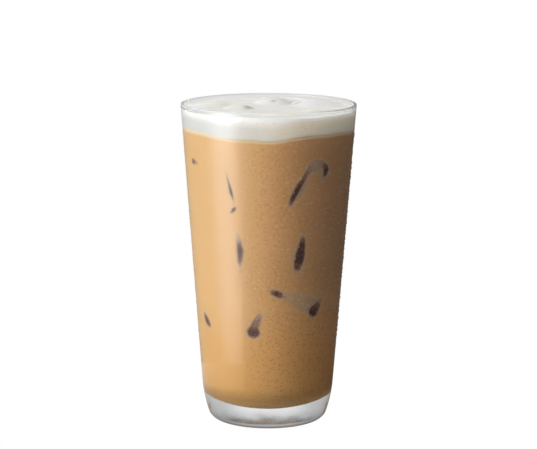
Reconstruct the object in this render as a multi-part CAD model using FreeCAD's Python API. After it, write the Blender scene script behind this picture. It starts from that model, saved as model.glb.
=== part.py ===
"""Iced flat white in a tall tumbler, in millimetres. +Z is up, and the origin is the middle of the foot's underside.

glass   clear soda-lime tumbler, turned about Z: tapered wall, rounded heel and a heavy bottom with a shallow punt
coffee  espresso and milk, from the floor of the glass up to the underside of the foam
foam    milk foam: its underside dips unevenly along the wall, and ice that floats just below humps its top

The drink wets the glass from wall to wall, and the foam lies on the coffee face to face. The ice is wholly sunk,
so it has no solid of its own here: it only shows as the humps in the foam.
"""

import FreeCAD
import Part

import math
import os

from FreeCAD import Vector

# ---- Glass: the outside
height = 150.0  # foot to lip
rim_radius = 41.0  # outside of the lip
taper = 4.35  # lean of the wall from upright, in degrees
flank_radius = 59.0  # the long gentle turn where the wall runs into the heel
heel_radius = 4.9  # the tight turn onto the foot
knuckle = 18.9  # lean of the surface where the gentle turn meets the tight one, in degrees
foot_width = 2.8  # flat ring that the glass stands on
punt_depth = 1.6  # hollow under the bottom

# ---- Glass: the inside
lip_wall = 1.4  # thickness at the lip, which is fully rounded
base_wall = 2.4  # thickness of the wall where it meets the bottom
floor_height = 8.4  # thickness of the bottom in its middle, foot to floor
floor_bowl = 56.0  # radius of the floor, which is a shallow bowl
floor_corner = 7.0  # rounding between wall and floor

# ---- Drink
foam_below_lip = 2.4  # foam's level against the wall, down from the lip
foam_depth = 8.7  # foam's least depth, from its level to its highest underside
swell_depth = 0.2  # slow unevenness of the foam's level
swell_length = 31.0  # from one slow swell to the next

# Dips of the foam's underside along the wall: bearing from the front, depth, spread.
# Bearings and spreads are in degrees, and bearings count up towards the right.
foam_dips = [
    (-27, 1.5, 17),
    (2, 2.0, 15),
    (45, 0.2, 10),
    (74, 1.1, 11),
    (113, 0.6, 13),
    (148, 1.7, 16),
    (-169, 0.9, 12),
    (-131, 1.8, 17),
    (-96, 0.5, 12),
]

# Ice under the foam: bearing of its middle from the front (degrees), distance of its middle from the wall,
# half length, half width, turn of its long side from +X (degrees), rise of the foam over it, and the share
# of that rise gained from its middle to its +X end
ice_humps = [
    (-88, 25.2, 7.6, 8.2, 8, 1.7, 0.35),
    (174, 19.4, 10.0, 10.4, -8, 2.7, 0.10),
    (121, 12.3, 13.4, 14.6, 12, 2.1, -0.12),
    (-111, 11.2, 9.4, 9.0, -20, 1.2, 0.20),
    (57, 15.3, 5.0, 5.2, 20, 1.0, 0.10),
]

# ---- How the uneven surfaces are drawn
grid_steps = 40  # spans of each spline surface, side to side
grid_margin = 3.0  # how far a surface runs out past the wall
hump_square = 2.6  # squareness of a hump's outline: 2 is an ellipse
hump_flat = 2.4  # flatness of a hump's top: higher is flatter
hump_skirt = 1.5  # softness of a hump's edge: over 1, it runs out level
hump_blend = 4.0  # how sharply two humps that meet keep apart


def on_profile(radius, z):
    """A point of the half section, which is drawn in the XZ plane."""
    return Vector(radius, 0, z)


def turn(centre, radius, start, end):
    """Arc of the half section about a centre, between two lean angles in degrees: 0 faces outwards, 90 faces down."""
    points = []
    for lean in (start, (start + end) / 2, end):
        a = math.radians(lean)
        points.append(centre + on_profile(radius * math.cos(a), -radius * math.sin(a)))
    return Part.Arc(*points).toShape()


def line(a, b):
    return Part.LineSegment(a, b).toShape()


def lip_shoulder():
    """Height where the straight wall ends and the round of the lip begins."""
    return height - lip_wall / 2


def heel_top():
    """Where the straight wall ends and the heel begins: its height and outside radius."""
    gentle = flank_radius * (math.sin(math.radians(knuckle)) - math.sin(math.radians(taper)))
    tight = heel_radius * (1 - math.sin(math.radians(knuckle)))
    z = gentle + tight
    return z, cone_radius(z)


def cone_radius(z):
    """Outside radius of the straight wall, also where it is carried on down past the heel."""
    return rim_radius - (lip_shoulder() - z) * math.tan(math.radians(taper))


def inner_lean():
    """Lean of the inside wall from upright, in radians. The wall thickens downwards, so it leans more."""
    top = rim_radius - lip_wall
    bottom = cone_radius(floor_height) - base_wall
    return math.atan((top - bottom) / (lip_shoulder() - floor_height))


def inner_radius(z):
    """Inside radius of the wall, carried on straight past the rounded floor corner."""
    return rim_radius - lip_wall - (lip_shoulder() - z) * math.tan(inner_lean())


def outside_outline():
    """Edges from the middle of the punt, round the heel and up to the lip's outer shoulder."""
    flank_top_z, flank_top_radius = heel_top()
    lean = math.radians(taper)
    flank_centre = on_profile(
        flank_top_radius - flank_radius * math.cos(lean),
        flank_top_z + flank_radius * math.sin(lean),
    )
    bend = math.radians(knuckle)
    heel_centre = flank_centre + on_profile(
        (flank_radius - heel_radius) * math.cos(bend),
        -(flank_radius - heel_radius) * math.sin(bend),
    )
    foot_radius = heel_centre.x
    punt_radius = foot_radius - foot_width
    punt_sphere = (punt_radius**2 + punt_depth**2) / (2 * punt_depth)
    half_punt = punt_radius / 2
    punt_middle = on_profile(
        half_punt,
        punt_depth - punt_sphere + math.sqrt(punt_sphere**2 - half_punt**2),
    )
    return [
        Part.Arc(on_profile(0, punt_depth), punt_middle, on_profile(punt_radius, 0)).toShape(),
        line(on_profile(punt_radius, 0), on_profile(foot_radius, 0)),
        turn(heel_centre, heel_radius, 90, knuckle),
        turn(flank_centre, flank_radius, knuckle, taper),
        line(on_profile(flank_top_radius, flank_top_z), on_profile(rim_radius, lip_shoulder())),
    ]


def floor_corner_centre():
    """Centre of the rounding that touches both the straight wall and the bowl of the floor."""
    lean = inner_lean()
    spread = math.tan(lean)
    foot = inner_radius(0) - floor_corner / math.cos(lean)
    bowl_z = floor_height + floor_bowl
    half_term = bowl_z - foot * spread
    squares = foot**2 + bowl_z**2 - (floor_bowl - floor_corner) ** 2
    z = (half_term - math.sqrt(half_term**2 - (1 + spread**2) * squares)) / (1 + spread**2)
    return on_profile(foot + spread * z, z)


def inside_outline():
    """Edges from the lip's inner shoulder down the wall, round the floor corner and in to the axis."""
    lean = inner_lean()
    corner = floor_corner_centre()
    corner_top = corner + on_profile(floor_corner * math.cos(lean), -floor_corner * math.sin(lean))
    bowl = on_profile(0, floor_height + floor_bowl)
    bowl_edge = math.degrees(math.atan2(bowl.z - corner.z, corner.x))
    return [
        line(on_profile(rim_radius - lip_wall, lip_shoulder()), corner_top),
        turn(corner, floor_corner, math.degrees(lean), bowl_edge),
        turn(bowl, floor_bowl, bowl_edge, 90),
    ]


def turned(edges):
    """Solid of revolution about Z of a closed outline."""
    wire = Part.Wire(Part.__sortEdges__(edges))
    return Part.Face(wire).revolve(Vector(0, 0, 0), Vector(0, 0, 1), 360)


def make_glass():
    lip = Part.Arc(
        on_profile(rim_radius, lip_shoulder()),
        on_profile(rim_radius - lip_wall / 2, height),
        on_profile(rim_radius - lip_wall, lip_shoulder()),
    ).toShape()
    axis = line(on_profile(0, floor_height), on_profile(0, punt_depth))
    return turned(outside_outline() + [lip] + inside_outline() + [axis])


def make_inside():
    """The space inside the glass, carried straight up from the lip to clear the highest hump."""
    cover = height + sum(rise for *_, rise, lean in ice_humps)
    mouth = rim_radius - lip_wall
    column = [
        line(on_profile(0, floor_height), on_profile(0, cover)),
        line(on_profile(0, cover), on_profile(mouth, cover)),
        line(on_profile(mouth, cover), on_profile(mouth, lip_shoulder())),
    ]
    return turned(inside_outline() + column)


def bearing_to(x, y):
    """Bearing from the front, in degrees: 0 at -Y, + towards +X."""
    return math.degrees(math.atan2(x, -y))


def hump(x, y, ice):
    """Rise of the foam at (x, y) over one lump of ice."""
    bearing, from_wall, half_length, half_width, turned_by, rise, lean = ice
    from_axis = inner_radius(height - foam_below_lip) - from_wall
    a = math.radians(bearing)
    dx = x - from_axis * math.sin(a)
    dy = y + from_axis * math.cos(a)
    t = math.radians(turned_by)
    along = (dx * math.cos(t) + dy * math.sin(t)) / half_length
    across = (dy * math.cos(t) - dx * math.sin(t)) / half_width
    out = (abs(along) ** hump_square + abs(across) ** hump_square) ** (1 / hump_square)
    if out >= 1:
        return 0.0
    return rise * (1 + lean * along) * (1 - out**hump_flat) ** hump_skirt


def foam_top(x, y):
    """Height of the foam's top at (x, y)."""
    level = height - foam_below_lip
    swell = swell_depth * math.sin(2 * math.pi * x / swell_length + 0.7)
    swell *= math.cos(2 * math.pi * y / swell_length - 0.4)
    lumps = sum(hump(x, y, ice) ** hump_blend for ice in ice_humps)
    return level + swell + lumps ** (1 / hump_blend)


def foam_underside(x, y):
    """Height of the foam's underside at (x, y). The dips fade towards the middle of the glass."""
    level = height - foam_below_lip - foam_depth
    out = min(1.0, math.hypot(x, y) / inner_radius(level)) ** 2
    bearing = bearing_to(x, y)
    dip = 0.0
    for place, depth, spread in foam_dips:
        away = (bearing - place + 180) % 360 - 180
        dip += depth * math.exp(-((away / spread) ** 2))
    return level - out * dip


def all_below(surface_height):
    """Everything under an uneven surface, as a block that runs past the wall and down past the foot."""
    reach = rim_radius + grid_margin
    step = 2 * reach / grid_steps
    heights = []
    for i in range(grid_steps + 1):
        x = -reach + i * step
        heights.append([surface_height(x, -reach + j * step) for j in range(grid_steps + 1)])
    surface = Part.BSplineSurface()
    surface.interpolate(heights, -reach, step, -reach, step)
    return surface.toShape().extrude(Vector(0, 0, -2 * height))


def make_drink():
    """The coffee and the foam, which share the wavy face between them."""
    inside = make_inside()
    under_foam = all_below(foam_underside)
    coffee = inside.common(under_foam)
    foam = inside.common(all_below(foam_top)).cut(under_foam)
    return coffee, foam


def main():
    coffee, foam = make_drink()
    pieces = {"glass": make_glass(), "coffee": coffee, "foam": foam}
    os.makedirs("parts", exist_ok=True)
    for node, shape in pieces.items():
        solids = shape.Solids
        if len(solids) != 1 or not solids[0].isValid():
            raise SystemExit(f"{node}: {len(solids)} solids, valid: {[s.isValid() for s in solids]}")
        solids[0].exportStep(f"parts/{node}.step")
        box = solids[0].BoundBox
        print(
            f"{node:8s} {solids[0].Volume / 1000:8.2f} cm3   z {box.ZMin:.2f} to {box.ZMax:.2f}"
            f"   x {box.XMin:.2f} to {box.XMax:.2f}   y {box.YMin:.2f} to {box.YMax:.2f}"
        )
    z, radius = heel_top()
    print(f"heel from z {z:.2f}, radius {radius:.2f}; wall leans {math.degrees(inner_lean()):.2f} inside")


main()
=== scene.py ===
"""Iced flat white in a tall tumbler: the looks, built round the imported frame.

Metres, +Z up, the front faces -Y. Bearings are in degrees from the front, to +X.
"""

import math
import random

import bmesh
import bpy
from mathutils import Matrix, Vector, noise


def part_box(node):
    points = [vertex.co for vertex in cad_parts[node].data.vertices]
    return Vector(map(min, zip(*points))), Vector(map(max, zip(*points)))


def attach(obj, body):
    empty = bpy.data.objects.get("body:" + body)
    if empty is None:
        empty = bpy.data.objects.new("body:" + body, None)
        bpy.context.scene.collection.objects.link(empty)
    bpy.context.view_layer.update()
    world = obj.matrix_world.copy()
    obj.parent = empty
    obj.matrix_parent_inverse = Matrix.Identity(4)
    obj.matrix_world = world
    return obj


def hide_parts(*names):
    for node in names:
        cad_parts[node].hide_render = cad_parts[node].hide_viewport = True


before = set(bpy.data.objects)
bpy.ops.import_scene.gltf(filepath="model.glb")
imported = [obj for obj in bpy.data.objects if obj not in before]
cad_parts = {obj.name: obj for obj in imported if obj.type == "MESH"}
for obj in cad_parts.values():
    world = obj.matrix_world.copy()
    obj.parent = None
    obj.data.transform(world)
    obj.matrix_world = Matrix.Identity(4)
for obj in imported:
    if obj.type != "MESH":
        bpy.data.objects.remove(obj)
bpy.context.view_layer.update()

MM = 0.001
scene = bpy.context.scene
scene.view_settings.view_transform = "Standard"

# ---- The camera
# A long lens one metre in front of the glass, a little above the lip and looking down on it.
look_down = math.radians(10.08)
look_aside = 0.0038
camera_data = bpy.data.cameras.new("camera")
camera_data.lens = 144.72
camera_data.sensor_width = 36.0
camera_data.clip_start = 0.05
camera = bpy.data.objects.new("camera", camera_data)
camera.location = (0.13 * MM, -1000 * MM, 270.25 * MM)
camera.rotation_mode = "ZYX"
camera.rotation_euler = (math.pi / 2 - look_down, 0, look_aside)
scene.collection.objects.link(camera)
scene.camera = camera

# ---- The table and the light
# A plain white table top that runs out of sight, a large soft lamp to the left and a dim room all round.
table_reach = 110 * MM
table_sides = 96
crease = math.radians(50)


def link(tree, output, socket):
    tree.links.new(output, socket)


def feed(tree, value, socket):
    """Links a socket to another node's output, or sets it to a number or a colour."""
    if isinstance(value, bpy.types.NodeSocket):
        link(tree, value, socket)
    elif isinstance(value, tuple):
        socket.default_value = (*value, 1)
    else:
        socket.default_value = value


def new_material(name):
    """An empty node material: the material, its tree and its output node."""
    material = bpy.data.materials.new(name)
    material.use_nodes = True
    tree = material.node_tree
    tree.nodes.clear()
    output = tree.nodes.new("ShaderNodeOutputMaterial")
    return material, tree, output


def new_piece(name, mesh_builder, material, smooth=True):
    """A finished object from a bmesh, linked into the scene. Its creases stay crisp under smooth shading."""
    for edge in mesh_builder.edges:
        edge.smooth = edge.calc_face_angle(0.0) < crease
    mesh = bpy.data.meshes.new(name)
    mesh_builder.to_mesh(mesh)
    mesh_builder.free()
    mesh.materials.append(material)
    if smooth:
        mesh.shade_smooth()
    piece = bpy.data.objects.new(name, mesh)
    scene.collection.objects.link(piece)
    return piece


def add_place(tree, kind="Object"):
    """The shaded place, or the direction looked in: as a whole, and as its X, Y and Z."""
    where = tree.nodes.new("ShaderNodeTexCoord")
    axes = tree.nodes.new("ShaderNodeSeparateXYZ")
    link(tree, where.outputs[kind], axes.inputs[0])
    return where.outputs[kind], axes.outputs


def add_range(tree, value, low, high, from_low=0.0, from_high=1.0, curve="SMOOTHSTEP"):
    """A Map Range node's result: a value taken from one range to another, with soft ends."""
    node = tree.nodes.new("ShaderNodeMapRange")
    node.interpolation_type = curve
    node.inputs["From Min"].default_value = from_low
    node.inputs["From Max"].default_value = from_high
    node.inputs["To Min"].default_value = low
    node.inputs["To Max"].default_value = high
    link(tree, value, node.inputs["Value"])
    return node.outputs[0]


def add_math(tree, operation, *values):
    """A Math node's result, from one or two numbers or outputs."""
    node = tree.nodes.new("ShaderNodeMath")
    node.operation = operation
    for socket, value in zip(node.inputs, values):
        feed(tree, value, socket)
    return node.outputs[0]


def add_blend(tree, share, first, second):
    """A colour between two colours, each a tuple or an output."""
    node = tree.nodes.new("ShaderNodeMix")
    node.data_type = "RGBA"
    link(tree, share, node.inputs["Factor"])
    feed(tree, first, node.inputs["A"])
    feed(tree, second, node.inputs["B"])
    return node.outputs["Result"]


def mix_shaders(tree, share, first, second):
    """A Mix Shader node's result."""
    node = tree.nodes.new("ShaderNodeMixShader")
    link(tree, share, node.inputs[0])
    link(tree, first, node.inputs[1])
    link(tree, second, node.inputs[2])
    return node.outputs[0]


def add_table_view(tree, ray, strength, share, under):
    """What one kind of ray sees of the table: a share of plain brightness over what lies under."""
    seen = tree.nodes.new("ShaderNodeLightPath")
    glow = tree.nodes.new("ShaderNodeEmission")
    feed(tree, strength, glow.inputs["Strength"])
    amount = add_math(tree, "MULTIPLY", seen.outputs[ray], share)
    return mix_shaders(tree, amount, under, glow.outputs[0])


table_material, tree, output = new_material("table_white")
plain = tree.nodes.new("ShaderNodeBsdfDiffuse")
plain.inputs["Color"].default_value = (0.8, 0.8, 0.8, 1)
axes = add_place(tree)[1]
# In reflections the table glows, bright to the left and dim to the right: a painted reflection of the
# lamp-lit table.
lit_side = add_range(tree, axes["X"], 0.03, 0.9, 60 * MM, -110 * MM, "LINEAR")
view = add_table_view(tree, "Is Camera Ray", 1.03, 0.95, plain.outputs[0])
view = add_table_view(tree, "Is Transmission Ray", 0.8, 0.15, view)
view = add_table_view(tree, "Is Glossy Ray", lit_side, 1.0, view)
link(tree, view, output.inputs["Surface"])

table = bmesh.new()
bmesh.ops.create_circle(table, cap_ends=True, radius=table_reach, segments=table_sides)
table_top = new_piece("table_top", table, table_material, smooth=False)


def add_softbox(name, bearing, distance, z, wide, tall, power, fade=0.4):
    """A soft lamp that faces the middle of the glass and fades to its edges over a share of its size."""
    lamp_data = bpy.data.lights.new(name, "AREA")
    lamp_data.shape = "RECTANGLE"
    lamp_data.size = wide
    lamp_data.size_y = tall
    lamp_data.energy = power
    lamp_data.use_nodes = True
    tree = lamp_data.node_tree
    tree.nodes.clear()
    output = tree.nodes.new("ShaderNodeOutputLight")
    glow = tree.nodes.new("ShaderNodeEmission")
    surface = tree.nodes.new("ShaderNodeNewGeometry")
    axes = tree.nodes.new("ShaderNodeSeparateXYZ")
    link(tree, surface.outputs["Parametric"], axes.inputs[0])
    fades = []
    for axis in ("X", "Y"):
        from_middle = add_math(tree, "SUBTRACT", axes.outputs[axis], 0.5)
        outwards = add_math(tree, "ABSOLUTE", from_middle)
        fades.append(add_range(tree, outwards, 0.0, 1.0, 0.5, 0.5 - fade))
    link(tree, add_math(tree, "MULTIPLY", *fades), glow.inputs["Strength"])
    link(tree, glow.outputs[0], output.inputs["Surface"])
    lamp = bpy.data.objects.new(name, lamp_data)
    a = math.radians(bearing)
    lamp.location = (distance * math.sin(a), -distance * math.cos(a), z)
    aim = Vector((0, 0, 75 * MM)) - Vector(lamp.location)
    lamp.rotation_euler = aim.to_track_quat("-Z", "Y").to_euler()
    scene.collection.objects.link(lamp)
    return lamp


add_softbox("key_lamp", -60, 1.1, 0.2, 1.5, 1.8, 43.5, fade=0.5)
back_lamp = add_softbox("back_lamp", 170, 1.3, 0.35, 1.4, 1.4, 33)
back_lamp.visible_glossy = False
back_lamp.visible_transmission = False
back_lamp.visible_camera = False
add_softbox("top_lamp", -60, 0.15, 1.3, 1.6, 1.6, 21)

# The room is dim and lit from the left. Through the glass it shows as grey paper, and to the camera as white.
world = bpy.data.worlds.new("studio")
scene.world = world
world.use_nodes = True
tree = world.node_tree
tree.nodes.clear()
output = tree.nodes.new("ShaderNodeOutputWorld")
seen = tree.nodes.new("ShaderNodeLightPath")
axes = add_place(tree, "Generated")[1]
room = tree.nodes.new("ShaderNodeBackground")
link(tree, add_range(tree, axes["X"], 0.07, 0.85, 0.3, -0.9, "LINEAR"), room.inputs["Strength"])
paper = tree.nodes.new("ShaderNodeBackground")
upwards = add_range(tree, axes["Z"], 0.0, 1.0, 0.05, 0.6, "LINEAR")
downwards = add_range(tree, axes["Z"], 0.0, 1.0, 0.04, -0.25, "LINEAR")
paper_colour = add_blend(tree, upwards, (0.84, 0.85, 0.86), (0.36, 0.41, 0.46))
paper_colour = add_blend(tree, downwards, paper_colour, (0.68, 0.665, 0.64))
link(tree, paper_colour, paper.inputs["Color"])
sideways = add_math(tree, "ABSOLUTE", axes["X"])
link(tree, add_range(tree, sideways, 1.0, 0.65, 0.15, 0.60), paper.inputs["Strength"])
white = tree.nodes.new("ShaderNodeBackground")
white.inputs["Color"].default_value = (1, 1, 1, 1)
view = mix_shaders(tree, seen.outputs["Is Transmission Ray"], room.outputs[0], paper.outputs[0])
view = mix_shaders(tree, seen.outputs["Is Camera Ray"], view, white.outputs[0])
link(tree, view, output.inputs["Surface"])

# ---- The glass
# A clear soda-lime tumbler, blown in a mould: a wall that leans out evenly, a rounded heel and a heavy
# bottom with a shallow punt. The lip is cut and fire-polished to a full round.
glass_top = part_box("glass")[1]
lip_z = glass_top.z
rim_radius = glass_top.x
taper = math.radians(4.35)
flank_radius = 59.0 * MM
heel_radius = 4.9 * MM
knuckle = math.radians(18.9)
foot_width = 2.8 * MM
punt_depth = 1.6 * MM
lip_wall = 1.4 * MM
base_wall = 2.4 * MM
floor_z = 8.4 * MM
floor_bowl = 56.0 * MM
floor_corner = 7.0 * MM
turns_round = 192
join_span = 0.2 * MM

lip_shoulder = lip_z - lip_wall / 2


def cone_radius(z):
    """Outside radius of the straight wall."""
    return rim_radius - (lip_shoulder - z) * math.tan(taper)


inner_lean = math.atan(
    (rim_radius - lip_wall - cone_radius(floor_z) + base_wall) / (lip_shoulder - floor_z)
)


def inner_radius(z):
    """Inside radius of the wall."""
    return rim_radius - lip_wall - (lip_shoulder - z) * math.tan(inner_lean)


def run_to(section, tip, radius, z, spans=1):
    """Draws a straight line of the half section from its tip, in so many spans, and gives the new tip."""
    start = tip.co.copy()
    end = Vector((radius, 0, z))
    for k in range(spans):
        tip = bmesh.ops.extrude_vert_indiv(section, verts=[tip])["verts"][0]
        tip.co = start.lerp(end, (k + 1) / spans)
    return tip


def arc_on(section, tip, centre, angle, steps):
    """Draws an arc of the half section from its tip about a centre (radius, z), anticlockwise if positive."""
    made = bmesh.ops.spin(
        section, geom=[tip], cent=(centre[0], 0, centre[1]), axis=(0, -1, 0), angle=angle, steps=steps
    )
    return [v for v in made["geom_last"] if isinstance(v, bmesh.types.BMVert)][0]


def turn_whole(section, steps):
    """Turns the half section once round Z, and closes its seam and its poles."""
    bmesh.ops.spin(
        section, geom=section.verts[:] + section.edges[:], cent=(0, 0, 0), axis=(0, 0, 1),
        angle=math.tau, steps=steps, use_merge=True,
    )
    bmesh.ops.remove_doubles(section, verts=section.verts[:], dist=0.002 * MM)
    bmesh.ops.recalc_face_normals(section, faces=section.faces[:])


flank_top_z = flank_radius * (math.sin(knuckle) - math.sin(taper)) + heel_radius * (1 - math.sin(knuckle))
flank_centre = (
    cone_radius(flank_top_z) - flank_radius * math.cos(taper),
    flank_top_z + flank_radius * math.sin(taper),
)
heel_centre = (flank_centre[0] + (flank_radius - heel_radius) * math.cos(knuckle), heel_radius)
foot_radius = heel_centre[0]
punt_radius = foot_radius - foot_width
punt_sphere = (punt_radius**2 + punt_depth**2) / (2 * punt_depth)
punt_angle = math.asin(punt_radius / punt_sphere)
bowl_centre_z = floor_z + floor_bowl
spread = math.tan(inner_lean)
corner_foot = inner_radius(0) - floor_corner / math.cos(inner_lean)
half_term = bowl_centre_z - corner_foot * spread
squares = corner_foot**2 + bowl_centre_z**2 - (floor_bowl - floor_corner) ** 2
corner_centre_z = (half_term - math.sqrt(half_term**2 - (1 + spread**2) * squares)) / (1 + spread**2)
corner_centre = (corner_foot + spread * corner_centre_z, corner_centre_z)
bowl_edge = math.atan2(corner_centre[0], bowl_centre_z - corner_centre_z)
corner_sweep = math.pi / 2 - inner_lean - bowl_edge

corner_z = corner_centre_z - floor_corner * math.sin(inner_lean)
wall_foot_z = flank_top_z + 2 * join_span
wall_top_z = lip_shoulder - join_span
inner_foot_z = corner_z + join_span
section = bmesh.new()
tip = section.verts.new((0, 0, punt_depth))
tip = arc_on(section, tip, (0, punt_depth - punt_sphere), -punt_angle, 12)
tip = run_to(section, tip, foot_radius, 0, 3)
tip = arc_on(section, tip, heel_centre, math.pi / 2 - knuckle, 12)
tip = arc_on(section, tip, flank_centre, knuckle - taper, 14)
tip = run_to(section, tip, cone_radius(wall_foot_z), wall_foot_z)
tip = run_to(section, tip, cone_radius(wall_top_z), wall_top_z, 40)
tip = run_to(section, tip, rim_radius, lip_shoulder)
tip = arc_on(section, tip, (rim_radius - lip_wall / 2, lip_shoulder), math.pi, 14)
tip = run_to(section, tip, inner_radius(wall_top_z), wall_top_z)
tip = run_to(section, tip, inner_radius(inner_foot_z), inner_foot_z, 40)
tip = run_to(section, tip, inner_radius(corner_z), corner_z)
tip = arc_on(section, tip, corner_centre, -corner_sweep, 12)
tip = arc_on(section, tip, (0, bowl_centre_z), -bowl_edge, 12)
turn_whole(section, turns_round)


def add_noise(tree, place, scale, detail=2.0):
    """A noise pattern's value."""
    node = tree.nodes.new("ShaderNodeTexNoise")
    node.inputs["Scale"].default_value = scale
    node.inputs["Detail"].default_value = detail
    link(tree, place, node.inputs["Vector"])
    return node.outputs["Fac"]


def add_bump(tree, height, strength, distance):
    """A Bump node's normal."""
    node = tree.nodes.new("ShaderNodeBump")
    node.inputs["Distance"].default_value = distance
    feed(tree, strength, node.inputs["Strength"])
    link(tree, height, node.inputs["Height"])
    return node.outputs[0]


def let_light_in(tree, shader, colour):
    """The same shader without a shadow, so that the lamps shine through it onto what it holds."""
    seen = tree.nodes.new("ShaderNodeLightPath")
    through = tree.nodes.new("ShaderNodeBsdfTransparent")
    feed(tree, colour, through.inputs["Color"])
    return mix_shaders(tree, seen.outputs["Is Shadow Ray"], shader, through.outputs[0])


# Misted above the heel and clear at the lip. The foot ring is worn, and the pressed bottom is a little wavy.
glass_material, tree, output = new_material("clear_glass")
clear = tree.nodes.new("ShaderNodeBsdfPrincipled")
clear.inputs["IOR"].default_value = 1.51
clear.inputs["Transmission Weight"].default_value = 1.0
place, axes = add_place(tree)
mist = add_range(tree, axes["Z"], 0.02, 0.22, 14 * MM, 60 * MM)
clear_lip = add_range(tree, axes["Z"], 1.0, 0.1, 145 * MM, 147.5 * MM)
worn_foot = add_range(tree, axes["Z"], 0.0, 0.55, 2.0 * MM, 1.5 * MM)
blur = add_math(tree, "MAXIMUM", add_math(tree, "MULTIPLY", mist, clear_lip), worn_foot)
link(tree, blur, clear.inputs["Roughness"])
# The glass is tinted dark low at the foot: painted shade for the shadow where it stands on the table.
foot_painted_shade = add_range(tree, axes["Z"], 0.0, 1.0, 1.2 * MM, 5.5 * MM)
glass_colour = add_blend(tree, foot_painted_shade, (0.29, 0.275, 0.255), (0.985, 0.99, 0.99))
link(tree, glass_colour, clear.inputs["Base Color"])
wavy_foot = add_range(tree, axes["Z"], 0.0, 0.8, 13 * MM, 7 * MM)
waves = add_bump(tree, add_noise(tree, place, 90, 1.5), wavy_foot, 0.5 * MM)
link(tree, waves, clear.inputs["Normal"])
link(tree, let_light_in(tree, clear.outputs[0], (0.96, 0.97, 0.97)), output.inputs["Surface"])

glass = new_piece("tumbler", section, glass_material)
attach(glass, "root")
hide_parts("glass")

# ---- The ice
# Machine-made cubes of clear water, melted round by the coffee and wholly sunk in it. They lie in five loose
# rings against the wall; the topmost ring humps the foam.
# Bearing and height of each cube, lean, tip and turn in degrees, half sizes along, across and deep in mm,
# and how far its nearest corner stays off the wall.
ice_square = 5.0
ice_cuts = 11
melt_depth = 0.5
melt_length = 9.0 * MM
ice_cubes = [
    (-62, 49, -24, 4, 45, 8.4, 7.8, 8.0, 0.3),
    (-8, 47, 20, -8, 38, 8.6, 8.0, 8.2, 0.3),
    (63, 50, 8, 5, 20, 8.2, 8.6, 7.8, 0.6),
    (130, 46, -12, 6, 52, 8.6, 8.2, 8.4, 0.4),
    (-148, 49, 16, 0, 35, 8.0, 8.4, 8.2, 0.5),
    (28, 66, 66, 3, 45, 9.0, 7.4, 7.8, 0.3),
    (95, 68, -10, 8, 30, 8.2, 8.4, 8.0, 0.6),
    (160, 65, 28, -6, 48, 8.6, 8.0, 8.0, 0.3),
    (-135, 68, -18, 4, 60, 8.4, 8.2, 8.4, 0.5),
    (-50, 68, 12, 10, 15, 8.0, 8.0, 8.2, 1.6),
    (-22, 86, -2, 0, 57, 9.0, 8.0, 8.2, 0.3),
    (25, 85, 9, 1, 33, 8.8, 8.2, 8.0, 0.3),
    (90, 87, 20, -4, 50, 8.4, 8.6, 8.0, 0.4),
    (150, 85, -26, 5, 40, 8.6, 8.0, 8.4, 0.3),
    (-150, 88, 6, 0, 45, 8.4, 8.4, 8.0, 0.4),
    (-86, 86, 14, 7, 25, 8.2, 8.0, 8.4, 0.9),
    (-27, 106, -10, -3, 45, 9.0, 8.0, 8.0, 0.3),
    (33, 108, 24, 6, 40, 9.2, 8.6, 8.4, 0.3),
    (83, 107, 5, 0, 50, 8.6, 8.2, 8.4, 0.3),
    (144, 106, -14, 6, 35, 8.8, 8.4, 8.2, 0.5),
    (-160, 108, 22, -5, 55, 8.6, 8.2, 8.4, 0.3),
    (-95, 106, -8, 8, 42, 8.4, 8.6, 8.2, 0.4),
    (-60, 127, 12, 14, 40, 8.6, 8.4, 8.2, 0.3),
    (57, 126, -20, 10, 20, 8.4, 8.2, 8.2, 1.4),
    (121, 127, 12, -8, 48, 9.4, 8.8, 8.4, 0.6),
    (174, 127, -8, 6, 8, 9.2, 9.0, 8.6, 3.0),
    (-111, 127, -20, -6, 30, 8.6, 8.4, 8.0, 0.8),
]

ice = bmesh.new()
for bearing, z, lean, tip_out, turned, along, across, deep, off_wall in ice_cubes:
    made_before = len(ice.verts)
    corners = bmesh.ops.create_cube(ice, size=2)["verts"]
    edges = list({e for v in corners for e in v.link_edges})
    bmesh.ops.subdivide_edges(ice, edges=edges, cuts=ice_cuts, use_grid_fill=True)
    block = list(ice.verts)[made_before:]
    a = math.radians(bearing)
    out = Vector((math.sin(a), -math.cos(a), 0))
    turn = Matrix.Rotation(math.radians(-lean), 3, out)
    turn @= Matrix.Rotation(math.radians(tip_out), 3, out.cross(Vector((0, 0, 1))))
    turn @= Matrix.Rotation(math.radians(bearing + turned), 3, "Z")
    for v in block:
        p = v.co.normalized()
        p /= sum(abs(c) ** ice_square for c in p) ** (1 / ice_square)
        p = turn @ (Vector((p.x * across, p.y * deep, p.z * along)) * MM)
        melted = noise.noise((p + out * z * MM) / melt_length) * melt_depth * MM
        v.co = p + p.normalized() * melted
    nearest = max(v.co.dot(out) for v in block)
    centre = out * (inner_radius(z * MM) - off_wall * MM - nearest)
    centre.z = z * MM
    bmesh.ops.translate(ice, verts=block, vec=centre)
bmesh.ops.recalc_face_normals(ice, faces=ice.faces[:])

ice_material, tree, output = new_material("clear_ice")
look = tree.nodes.new("ShaderNodeBsdfPrincipled")
look.inputs["Base Color"].default_value = (0.93, 0.96, 0.98, 1)
look.inputs["IOR"].default_value = 1.31
look.inputs["Transmission Weight"].default_value = 1.0
place = add_place(tree)[0]
pits = add_noise(tree, place, 420, 3)
link(tree, add_range(tree, pits, 0.04, 0.30, curve="LINEAR"), look.inputs["Roughness"])
link(tree, add_bump(tree, pits, 0.4, 0.2 * MM), look.inputs["Normal"])
link(tree, look.outputs[0], output.inputs["Surface"])
ice_piece = new_piece("ice_cubes", ice, ice_material)
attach(ice_piece, "root")

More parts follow.
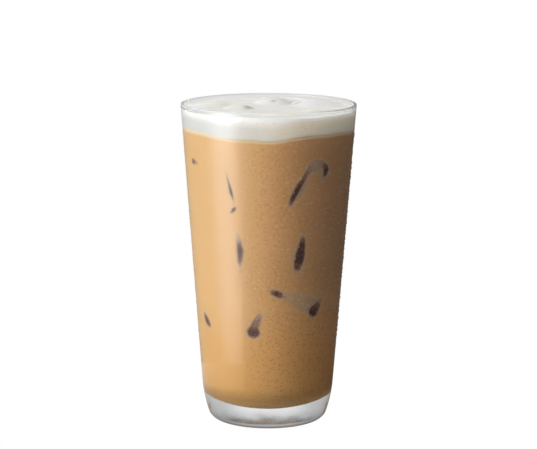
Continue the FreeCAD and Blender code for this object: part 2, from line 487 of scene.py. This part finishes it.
# ---- The coffee
# Espresso and cold milk, poured over the ice. It wets the glass all the way down, so it is drawn a hair into
# the wall; its top follows the foam's uneven underside. Where a melted edge of ice lies against the wall,
# only a film of milk is left over it, and the clear ice looks dark.
bite = 0.12 * MM
coffee_steps = 380
foam_below_lip = 2.4 * MM
foam_depth = 8.7 * MM
foam_level = lip_z - foam_below_lip
coffee_top = foam_level - foam_depth
touch_margin = 5
touch_span = 45
near_wall = 0.5 * MM
# Bearing, depth in mm and breadth in degrees of each dip of the foam along the wall.
foam_dips = [
    (-27, 1.5, 17),
    (2, 2.0, 15),
    (45, 0.2, 10),
    (74, 1.1, 11),
    (113, 0.6, 13),
    (148, 1.7, 16),
    (-169, 0.9, 12),
    (-131, 1.8, 17),
    (-96, 0.5, 12),
]


def turn_between(start, end):
    """Degrees from one bearing to another, the short way round."""
    return (end - start + 180) % 360 - 180


def bearing_of(x, y):
    return math.degrees(math.atan2(x, -y))


def foam_underside(x, y):
    """Height of the foam's underside, whose dips fade towards the middle."""
    out = min(1.0, math.hypot(x, y) / inner_radius(coffee_top)) ** 2
    bearing = bearing_of(x, y)
    dip = 0.0
    for place, depth, breadth in foam_dips:
        dip += depth * MM * math.exp(-((turn_between(place, bearing) / breadth) ** 2))
    return coffee_top - out * dip


# Each touch of ice: how many mm its edge takes to fade, then points along it, with bearing, height, half
# width in mm, and the milk over it from 0, bare, to 1, hidden.
ice_touches = [
    (1.3, [(-63.5, 125.0, 0.92, 0.13), (-57.5, 124.6, 0.46, 0.58)]),
    (1.2, [(-32.1, 125.2, 0.15, 0.75), (-30.8, 122.9, 0.30, 0.59), (-29.1, 119.1, 0.30, 0.36),
           (-27.9, 116.1, 0.30, 0.16), (-27.0, 113.2, 0.45, 0.08), (-25.9, 111.0, 0.15, 0.16),
           (-25.3, 108.8, 0.45, 0.62), (-24.7, 106.8, 0.60, 0.54)]),
    (1.2, [(-29.3, 102.8, 0.26, 0.77), (-27.0, 104.0, 0.26, 0.26), (-25.7, 104.9, 0.52, 0.11),
           (-24.2, 106.0, 0.26, 0.18)]),
    (2.0, [(-24.1, 96.3, 0.63, 0.85), (-23.0, 93.1, 0.95, 0.60), (-22.4, 90.8, 1.05, 0.50),
           (-21.9, 88.9, 0.73, 0.22), (-21.4, 86.4, 1.05, 0.13), (-21.4, 83.8, 0.73, 0.15),
           (-21.9, 81.4, 0.63, 0.22), (-21.8, 79.0, 0.63, 0.60), (-21.6, 76.7, 1.05, 0.65),
           (-21.0, 74.3, 0.63, 0.85)]),
    (2.0, [(15.3, 106.3, 0.80, 0.65), (16.0, 108.4, 0.70, 0.30), (17.4, 110.7, 0.70, 0.08),
           (19.8, 113.8, 0.70, 0.02), (21.8, 116.3, 0.70, 0.04), (25.0, 119.4, 0.70, 0.20),
           (27.4, 122.1, 0.80, 0.30), (31.0, 125.1, 1.60, 0.45), (34.9, 126.3, 2.00, 0.48),
           (39.2, 125.8, 1.60, 0.42), (42.4, 124.9, 0.90, 0.20), (43.4, 123.0, 0.90, 0.00),
           (42.9, 121.2, 0.90, 0.15), (41.7, 119.2, 0.90, 0.45), (41.0, 117.4, 0.60, 0.65)]),
    (2.5, [(18.2, 108.8, 0.60, 0.60), (21.7, 112.1, 1.10, 0.50), (24.5, 115.3, 1.20, 0.50),
           (26.9, 118.6, 0.90, 0.50)]),
    (2.5, [(33.5, 123.9, 1.70, 0.50), (37.8, 122.9, 1.40, 0.50)]),
    (2.1, [(26.5, 93.5, 0.60, 0.62), (26.4, 91.2, 0.90, 0.25), (25.9, 88.4, 1.10, 0.08),
           (25.0, 84.6, 1.50, 0.00), (24.0, 81.4, 1.60, 0.03), (23.0, 78.6, 1.40, 0.18),
           (22.1, 76.8, 1.10, 0.45)]),
    (3.2, [(23.1, 89.9, 0.50, 0.65), (21.7, 85.7, 0.80, 0.55), (20.5, 81.1, 0.80, 0.55)]),
    (2.0, [(2.1, 67.2, 0.30, 0.40), (3.8, 66.9, 0.70, 0.20), (6.5, 66.3, 0.90, 0.08),
           (9.2, 65.6, 0.90, 0.15), (11.9, 64.8, 0.70, 0.38), (15.4, 64.0, 0.60, 0.60)]),
    (2.9, [(12.2, 66.1, 1.70, 0.62), (21.9, 63.3, 2.90, 0.60), (32.6, 60.3, 3.90, 0.58),
           (38.5, 59.1, 3.60, 0.56)]),
    (1.8, [(45.7, 60.9, 1.20, 0.45), (43.3, 58.7, 1.60, 0.25), (39.9, 56.5, 2.10, 0.04)]),
    (1.8, [(33.9, 57.1, 0.80, 0.62), (38.4, 56.3, 1.70, 0.27)]),
    (2.0, [(-63.7, 52.5, 0.70, 0.35), (-61.7, 51.1, 0.80, 0.10), (-59.7, 49.6, 0.90, 0.05),
           (-57.5, 48.4, 0.80, 0.20)]),
    (2.0, [(-6.1, 56.8, 0.80, 0.68), (-7.1, 55.1, 1.20, 0.45), (-8.9, 52.9, 1.40, 0.32),
           (-10.9, 50.6, 1.50, 0.28), (-11.9, 48.0, 2.30, 0.05)]),
    (2.0, [(-14.9, 51.3, 0.60, 0.78), (-13.0, 49.5, 1.10, 0.66)]),
    (2.1, [(74.0, 111.7, 0.60, 0.50), (73.7, 108.4, 0.70, 0.20)]),
]
# The sides and the back show touches of the same kinds: which of the rows above, -1 where it is turned left
# to right, how far round and up it goes, and how far it leans over.
back_touches = [
    (3, 1, 116, 3, 0.15),
    (13, -1, 42, -4, -0.3),
    (14, 1, 129, 17, 0.5),
    (7, -1, 168, -16, 0.0),
    (9, 1, 152, 24, 1.2),
    (4, -1, 214, -14, -0.2),
    (5, -1, 214, -14, -0.2),
    (6, -1, 214, -14, -0.2),
    (1, -1, 124, -4, -0.3),
    (14, -1, 182, 1, 0.3),
    (15, -1, 182, 1, 0.3),
    (16, 1, 118, 4, 0.4),
    (3, -1, -160, -20, 0.0),
    (7, 1, -118, 14, -0.2),
    (13, 1, -56, 33, 0.9),
    (9, -1, -98, -6, -0.4),
    (11, -1, -74, 4, 0.0),
]
for row, turned, round_by, up_by, askew in back_touches:
    fade, points = ice_touches[row]
    middle = sum(p[1] for p in points) / len(points)
    moved = [(round_by + turned * b + askew * (z - middle), z + up_by, w, m) for b, z, w, m in points]
    ice_touches.append((fade, moved))


def milk_over_ice(bearing, z):
    """Milk between the wall and the ice at a place on the wall, from 0, bare ice, to 1."""
    around = math.radians(inner_radius(z)) / MM
    z = z / MM
    least = 1.0
    for fade, points in ice_touches:
        if not min(p[1] for p in points) - touch_margin < z < max(p[1] for p in points) + touch_margin:
            continue
        if abs(turn_between(points[0][0], bearing)) > touch_span:
            continue
        for start, end in zip(points, points[1:]):
            away = turn_between(start[0], bearing) * around
            run = (end[0] - start[0]) * around
            rise = end[1] - start[1]
            t = (away * run + (z - start[1]) * rise) / (run * run + rise * rise)
            t = min(1.0, max(0.0, t))
            off = math.hypot(away - t * run, z - start[1] - t * rise)
            wide = start[2] + t * (end[2] - start[2])
            over = start[3] + t * (end[3] - start[3])
            least = min(least, over + max(0.0, off - wide) / fade)
    return least


fine_low = 40 * MM
fine_high = 128 * MM
section = bmesh.new()
tip = section.verts.new((0, 0, floor_z - bite))
tip = arc_on(section, tip, (0, bowl_centre_z), bowl_edge, 8)
tip = arc_on(section, tip, corner_centre, corner_sweep, 8)
tip = run_to(section, tip, inner_radius(fine_low) + bite, fine_low, 16)
tip = run_to(section, tip, inner_radius(fine_high) + bite, fine_high, 170)
tip = run_to(section, tip, inner_radius(coffee_top) + bite, coffee_top, 22)
tip = run_to(section, tip, 0, coffee_top, 12)
turn_whole(section, coffee_steps)
milk_layer = section.verts.layers.float.new("milk_over_ice")
below_layer = section.verts.layers.float.new("below_foam")
for v in section.verts:
    x, y, z = v.co
    share = max(0.0, (z - corner_z) / (coffee_top - corner_z))
    v.co.z = z + share * (foam_underside(x, y) - coffee_top)
    v[milk_layer] = 1.0
    if math.hypot(x, y) > inner_radius(z) - near_wall:
        v[milk_layer] = milk_over_ice(bearing_of(x, y), v.co.z)
    v[below_layer] = (foam_underside(x, y) - v.co.z) / MM


def add_attribute(tree, name, kind="Fac"):
    """A vertex attribute's value, or its colour."""
    node = tree.nodes.new("ShaderNodeAttribute")
    node.attribute_name = name
    return node.outputs[kind]


coffee_material, tree, output = new_material("milk_coffee")
look = tree.nodes.new("ShaderNodeBsdfPrincipled")
look.inputs["Roughness"].default_value = 0.5
look.inputs["Coat Roughness"].default_value = 0.35
look.inputs["Coat IOR"].default_value = 1.5
place, axes = add_place(tree)

# The brew, with painted light and shade: paler and yellower on the left where the lamp falls, redder on the
# right in the shade, darker high up on the right, darker and more orange low on the left to tone down the
# lamp there, and brighter where it rounds to the floor and faces away from the light.
# Painted light and shade: paler and yellower to the left, under the lamp, and redder to the right, in the
# shade.
across = add_range(tree, axes["X"], 0.0, 1.0, -34 * MM, 34 * MM, "LINEAR")
brew_and_painted_light = add_blend(tree, across, (0.66, 0.405, 0.135), (0.66, 0.315, 0.098))
# Painted shade: darker high up on the right, away from the lamp.
right_painted_shade = add_range(tree, axes["X"], 0.0, 1.0, -14 * MM, 32 * MM)
upper = add_range(tree, axes["Z"], 0.0, 1.0, 40 * MM, 80 * MM)
brew_and_painted_light = add_blend(tree, add_math(tree, "MULTIPLY", right_painted_shade, upper), brew_and_painted_light, (0.47, 0.228, 0.076))
# Painted shade: darker and more orange low down on the left, where the lamp falls strongest.
left_painted_shade = add_range(tree, axes["X"], 0.8, 0.0, -14 * MM, 22 * MM)
lower = add_range(tree, axes["Z"], 0.7, 0.0, 14 * MM, 66 * MM)
brew_and_painted_light = add_blend(tree, add_math(tree, "MULTIPLY", lower, left_painted_shade), brew_and_painted_light, (0.62, 0.31, 0.045))
# Painted light: brighter where the coffee rounds to the floor and faces down, away from the lamps.
floor_painted_light = add_range(tree, axes["Z"], 0.95, 0.0, 10.5 * MM, 17 * MM)
off_floor = add_range(tree, axes["Z"], 0.0, 1.0, 8.9 * MM, 9.9 * MM)
brew_and_painted_light = add_blend(tree, add_math(tree, "MULTIPLY", floor_painted_light, off_floor), brew_and_painted_light, (0.97, 0.55, 0.16))

# Fine dark dots, slow swirls of milk and a fine grain.
dots = tree.nodes.new("ShaderNodeTexVoronoi")
dots.inputs["Scale"].default_value = 660
dots.inputs["Randomness"].default_value = 0.9
link(tree, place, dots.inputs["Vector"])
dot_share = add_range(tree, dots.outputs["Distance"], 0.75, 0.0, 0.12, 0.42)
dot_side = add_range(tree, axes["X"], 0.15, 1.0, -20 * MM, 6 * MM)
brew_and_painted_light = add_blend(tree, add_math(tree, "MULTIPLY", dot_share, dot_side), brew_and_painted_light, (0.44, 0.175, 0.035))
swirl = add_range(tree, add_noise(tree, place, 38, 3), 0.0, 0.12, 0.35, 0.7)
brew_and_painted_light = add_blend(tree, swirl, brew_and_painted_light, (0.74, 0.46, 0.20))
grain = add_range(tree, add_noise(tree, place, 1400), 0.0, 0.10, 0.35, 0.75)
brew_and_painted_light = add_blend(tree, grain, brew_and_painted_light, (0.50, 0.27, 0.09))

# The ice shows through where the milk over it is thin.
speckle = add_math(tree, "SUBTRACT", add_noise(tree, place, 1700, 3), 0.5)
milk = add_attribute(tree, "milk_over_ice")
milk = add_math(tree, "ADD", milk, add_math(tree, "MULTIPLY", speckle, 0.5))
ramp = tree.nodes.new("ShaderNodeValToRGB")
ramp.color_ramp.interpolation = "EASE"
stops = ramp.color_ramp.elements
stops[0].position = 0.0
stops[0].color = (0.055, 0.015, 0.006, 1)
stops[1].position = 0.70
stops[1].color = (0.53, 0.36, 0.19, 1)
for position, colour in (
    (0.12, (0.10, 0.034, 0.018, 1)),
    (0.25, (0.22, 0.112, 0.062, 1)),
    (0.44, (0.38, 0.25, 0.165, 1)),
):
    stop = stops.new(position)
    stop.color = colour
link(tree, milk, ramp.inputs[0])
hidden = add_range(tree, milk, 0.0, 1.0, 0.45, 1.0)
colour = add_blend(tree, hidden, ramp.outputs[0], brew_and_painted_light)
clear_of_foam = add_range(tree, add_attribute(tree, "below_foam"), 0.0, 1.0, -0.2, 1.5)
colour = add_blend(tree, clear_of_foam, (0.82, 0.62, 0.38), colour)
link(tree, colour, look.inputs["Base Color"])

# The mist on the wall veils the drink, though not the ice that lies against it.
mist = add_range(tree, axes["Z"], 0.0, 0.75, 34 * MM, 66 * MM)
link(tree, add_math(tree, "MULTIPLY", mist, hidden), look.inputs["Coat Weight"])
link(tree, add_bump(tree, add_noise(tree, place, 260, 3), 0.25, 0.1 * MM), look.inputs["Normal"])
link(tree, look.outputs[0], output.inputs["Surface"])
coffee = new_piece("coffee_body", section, coffee_material)
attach(coffee, "root")
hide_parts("coffee")

# ---- The foam
# Milk foam, spooned on last. The ice just below humps it, and it creeps up the glass in a thin meniscus.
swell_depth = 0.2 * MM
swell_length = 31.0 * MM
# Bearing of each hump, mm from the wall, half length and half width, turn in degrees, rise in mm and lean.
ice_humps = [
    (-88, 25.2, 7.6, 8.2, 8, 1.7, 0.35),
    (174, 19.4, 10.0, 10.4, -8, 2.7, 0.10),
    (121, 12.3, 13.4, 14.6, 12, 2.1, -0.12),
    (-111, 11.2, 9.4, 9.0, -20, 1.2, 0.20),
    (57, 15.3, 5.0, 5.2, 20, 1.0, 0.10),
]
hump_square = 2.6
hump_flat = 2.4
hump_skirt = 1.5
hump_blend = 4.0


def turned_within(dx, dy, turned, half_length, half_width):
    """Where a place lies in a turned oval, along and across it: 1 is its edge."""
    t = math.radians(turned)
    along = (dx * math.cos(t) + dy * math.sin(t)) / half_length
    across = (dy * math.cos(t) - dx * math.sin(t)) / half_width
    return along, across


def hump(x, y, lump):
    """Rise of the foam at (x, y) over one lump of ice, in millimetres."""
    bearing, from_wall, half_length, half_width, turned, rise, lean = lump
    from_axis = inner_radius(foam_level) - from_wall * MM
    a = math.radians(bearing)
    dx = (x - from_axis * math.sin(a)) / MM
    dy = (y + from_axis * math.cos(a)) / MM
    along, across = turned_within(dx, dy, turned, half_length, half_width)
    out = (abs(along) ** hump_square + abs(across) ** hump_square) ** (1 / hump_square)
    if out >= 1:
        return 0.0
    return rise * (1 + lean * along) * (1 - out**hump_flat) ** hump_skirt


def foam_top(x, y):
    """Height of the foam's top at (x, y)."""
    swell = swell_depth * math.sin(math.tau * x / swell_length + 0.7)
    swell *= math.cos(math.tau * y / swell_length - 0.4)
    lumps = sum(hump(x, y, lump) ** hump_blend for lump in ice_humps)
    return foam_level + swell + lumps ** (1 / hump_blend) * MM


# Marks on the foam: cream where milk and coffee show through, grey on two hump crests, a grey-brown speck,
# and painted shade in a hollow and two corners beside the humps: x, y, half length, half width in mm, turn,
# colour and share.
foam_white = 0.84
foam_cream = (0.84, 0.76, 0.60)
foam_patches = [
    # Painted shade in the hollow behind the low hump at the far left.
    (-21.5, 22.0, 6.5, 1.4, 12, (0.62, 0.50, 0.36), 0.7),
    # Painted shadow at the right corner of the hump left of the middle.
    (-9.6, -3.6, 1.8, 3.0, -20, (0.44, 0.34, 0.26), 0.9),
    (0.5, 20.5, 6.5, 3.0, 0, (0.64, 0.62, 0.64), 0.6),
    (2.3, 14.2, 1.4, 1.6, 0, (0.50, 0.44, 0.40), 0.7),
    (10.2, 26.4, 5.0, 2.6, 0, foam_cream, 0.7),
    # Painted shade in the notch at the front left of the big hump on the right.
    (13.2, 12.3, 2.2, 2.2, 20, (0.50, 0.44, 0.38), 0.8),
    (24.5, 17.6, 12.0, 2.0, 2, (0.62, 0.65, 0.68), 0.7),
    (19.0, -14.4, 5.5, 3.2, 10, foam_cream, 0.7),
    (28.4, -6.5, 4.5, 3.0, 0, foam_cream, 0.7),
    (25.8, -19.4, 5.0, 3.0, 30, foam_cream, 0.7),
    (-3.1, -14.7, 6.5, 3.2, 0, foam_cream, 0.7),
    (-17.0, -3.9, 5.5, 3.0, 0, foam_cream, 0.7),
    (9.8, -14.3, 5.0, 3.0, 0, foam_cream, 0.7),
    (-8.0, 30.0, 6.0, 2.5, 0, foam_cream, 0.5),
    (-28.0, 4.0, 4.0, 3.0, 60, foam_cream, 0.5),
]
# Fine specks of coffee on the foam's side: bearing and height in mm.
foam_specks = [
    (-22.5, 144.6), (-16.7, 145.8), (-7.7, 145.5), (-3.5, 145.4), (3.4, 145.4), (23.8, 144.1),
    (25.1, 142.7), (68.0, 144.9), (97.0, 145.6), (131.0, 144.0), (158.0, 145.3), (-150.0, 144.8),
    (-118.0, 145.6), (-74.0, 144.2),
]
speck_radius = 0.42
speck_share = 0.7
speck_colour = (0.76, 0.55, 0.27)
patch_fade = 1.2
meniscus_height = 0.35 * MM
meniscus_reach = 0.5 * MM

section = bmesh.new()
tip = section.verts.new((0, 0, coffee_top))
tip = run_to(section, tip, inner_radius(coffee_top) + bite, coffee_top, 12)
tip = run_to(section, tip, inner_radius(foam_level) + bite, foam_level, 22)
tip = run_to(section, tip, 0, foam_level, 72)
turn_whole(section, coffee_steps)
above_layer = section.verts.layers.float.new("above_coffee")
patch_layer = section.verts.layers.float_color.new("patch")
for v in section.verts:
    x, y, z = v.co
    share = (z - coffee_top) / (foam_level - coffee_top)
    under = foam_underside(x, y)
    top = foam_top(x, y)
    from_wall = inner_radius(foam_level) - math.hypot(x, y)
    meniscus = min(meniscus_height * math.exp(-from_wall / meniscus_reach), meniscus_height)
    v.co.z = under + share * (top + meniscus - under)
    v[above_layer] = (v.co.z - under) / MM
    tint = Vector((1.0, 1.0, 1.0))
    if share > 0.98:
        for place_x, place_y, half_long, half_wide, turned, colour, strength in foam_patches:
            along, across = turned_within(x / MM - place_x, y / MM - place_y, turned, half_long, half_wide)
            amount = strength * math.exp(-patch_fade * (along * along + across * across))
            tint = tint.lerp(Vector(colour) / foam_white, amount)
    elif share > 0.05:
        bearing = bearing_of(x, y)
        around = math.radians(inner_radius(z)) / MM
        for speck_bearing, height in foam_specks:
            away = turn_between(speck_bearing, bearing) * around
            near = math.exp(-((away**2 + (v.co.z / MM - height) ** 2) / speck_radius**2))
            tint = tint.lerp(Vector(speck_colour) / foam_white, speck_share * near)
    v[patch_layer] = (*tint, 1.0)

foam_material, tree, output = new_material("milk_foam")
look = tree.nodes.new("ShaderNodeBsdfPrincipled")
look.inputs["Roughness"].default_value = 0.6
look.inputs["Subsurface Weight"].default_value = 1.0
look.inputs["Subsurface Radius"].default_value = (1.0, 0.9, 0.8)
look.inputs["Subsurface Scale"].default_value = 3 * MM
place, axes = add_place(tree)
above = add_attribute(tree, "above_coffee")
# Painted shade and light: the foam's side is darker and greyer to the left, where the lamp falls, and paler
# and creamier to the right, in the shade.
across = add_range(tree, axes["X"], 0.0, 1.0, -30 * MM, 34 * MM)
froth = add_blend(tree, across, (0.61, 0.62, 0.605), (0.99, 0.875, 0.715))
froth = add_blend(tree, add_range(tree, above, 0.0, 1.0, 5.0, 9.6), froth, (0.90, 0.89, 0.86))
froth = add_blend(tree, add_range(tree, above, 0.0, 1.0, -0.3, 1.6), (0.88, 0.66, 0.40), froth)
tinted = tree.nodes.new("ShaderNodeMix")
tinted.data_type = "RGBA"
tinted.blend_type = "MULTIPLY"
tinted.inputs["Factor"].default_value = 1.0
link(tree, froth, tinted.inputs["A"])
link(tree, add_attribute(tree, "patch", "Color"), tinted.inputs["B"])
pores = add_range(tree, add_noise(tree, place, 1300, 3), 0.22, 0.0, 0.30, 0.50)
froth = add_blend(tree, pores, tinted.outputs["Result"], (0.62, 0.54, 0.42))
link(tree, froth, look.inputs["Base Color"])
link(tree, add_bump(tree, add_noise(tree, place, 800, 4), 0.5, 0.15 * MM), look.inputs["Normal"])
link(tree, look.outputs[0], output.inputs["Surface"])
foam = new_piece("foam_cap", section, foam_material)
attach(foam, "root")
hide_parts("foam")

# ---- The beads
# Water that the cold wall has drawn out of the air: low flat beads, broad on the shaded side and fine where
# the light falls, fewer towards the foot. Each sits a hair into the glass.
bead_count = 3300
bead_tries = 12
bead_steps = 8
bead_low = 34 * MM
bead_high = 137 * MM
bead_thinning = 26 * MM
bead_least = 0.25
bead_spacing = 1.75
bead_depth = 0.55
fine_bearing = -52
fine_breadth = 45
bead_section = [(0.0, -0.10), (0.97, -0.10), (0.84, 0.22), (0.48, 0.40), (0.0, 0.47)]

one_bead = bmesh.new()
tip = one_bead.verts.new((bead_section[0][0], 0, bead_section[0][1]))
for radius, height in bead_section[1:]:
    tip = run_to(one_bead, tip, radius, height)
turn_whole(one_bead, bead_steps)
bead_mesh = bpy.data.meshes.new("one_bead")
one_bead.to_mesh(bead_mesh)
one_bead.free()

random.seed(41)
beads = bmesh.new()
taken = {}
made = 0
for _ in range(bead_count * bead_tries):
    bearing = random.uniform(-180, 180)
    z = random.uniform(bead_low, bead_high)
    keep = random.random()
    size = random.random()
    squash = random.uniform(0.50, 0.75)
    twist = random.gauss(0, 12)
    if made >= bead_count:
        break
    if keep > bead_least + (z - bead_low) / bead_thinning:
        continue
    fine = math.exp(-(((bearing - fine_bearing) / fine_breadth) ** 2))
    half_wide = (0.55 + 0.65 * size**2) * (1 - 0.6 * fine)
    gap = bead_spacing * (1 - 0.25 * fine)
    around = math.radians(cone_radius(z)) / MM
    cell = (int(bearing * around // gap), int(z / MM // gap))
    crowd = [
        other
        for i in (-1, 0, 1)
        for j in (-1, 0, 1)
        for other in taken.get((cell[0] + i, cell[1] + j), ())
    ]
    if any(math.hypot((bearing - b) * around, z / MM - h) < gap for b, h in crowd):
        continue
    taken.setdefault(cell, []).append((bearing, z / MM))
    made += 1
    a = math.radians(bearing)
    stand = Matrix.Rotation(a, 4, "Z") @ Matrix.Rotation(math.pi / 2 + taper, 4, "X")
    shape = Matrix.Rotation(math.radians(twist), 4, "Z") @ Matrix.Diagonal(
        (half_wide * MM, half_wide * squash * MM, half_wide * bead_depth * MM, 1)
    )
    radius = cone_radius(z)
    foot = Matrix.Translation((radius * math.sin(a), -radius * math.cos(a), z))
    shaped = bead_mesh.copy()
    shaped.transform(foot @ stand @ shape)
    beads.from_mesh(shaped)
    bpy.data.meshes.remove(shaped)
bpy.data.meshes.remove(bead_mesh)

bead_material, tree, output = new_material("water_beads")
look = tree.nodes.new("ShaderNodeBsdfPrincipled")
look.inputs["Base Color"].default_value = (0.98, 0.99, 0.99, 1)
look.inputs["IOR"].default_value = 1.33
look.inputs["Transmission Weight"].default_value = 1.0
place = add_place(tree)[0]
link(tree, add_range(tree, add_noise(tree, place, 300), 0.02, 0.12), look.inputs["Roughness"])
link(tree, let_light_in(tree, look.outputs[0], (1, 1, 1)), output.inputs["Surface"])
bead_piece = new_piece("water_beads", beads, bead_material)
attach(bead_piece, "root")
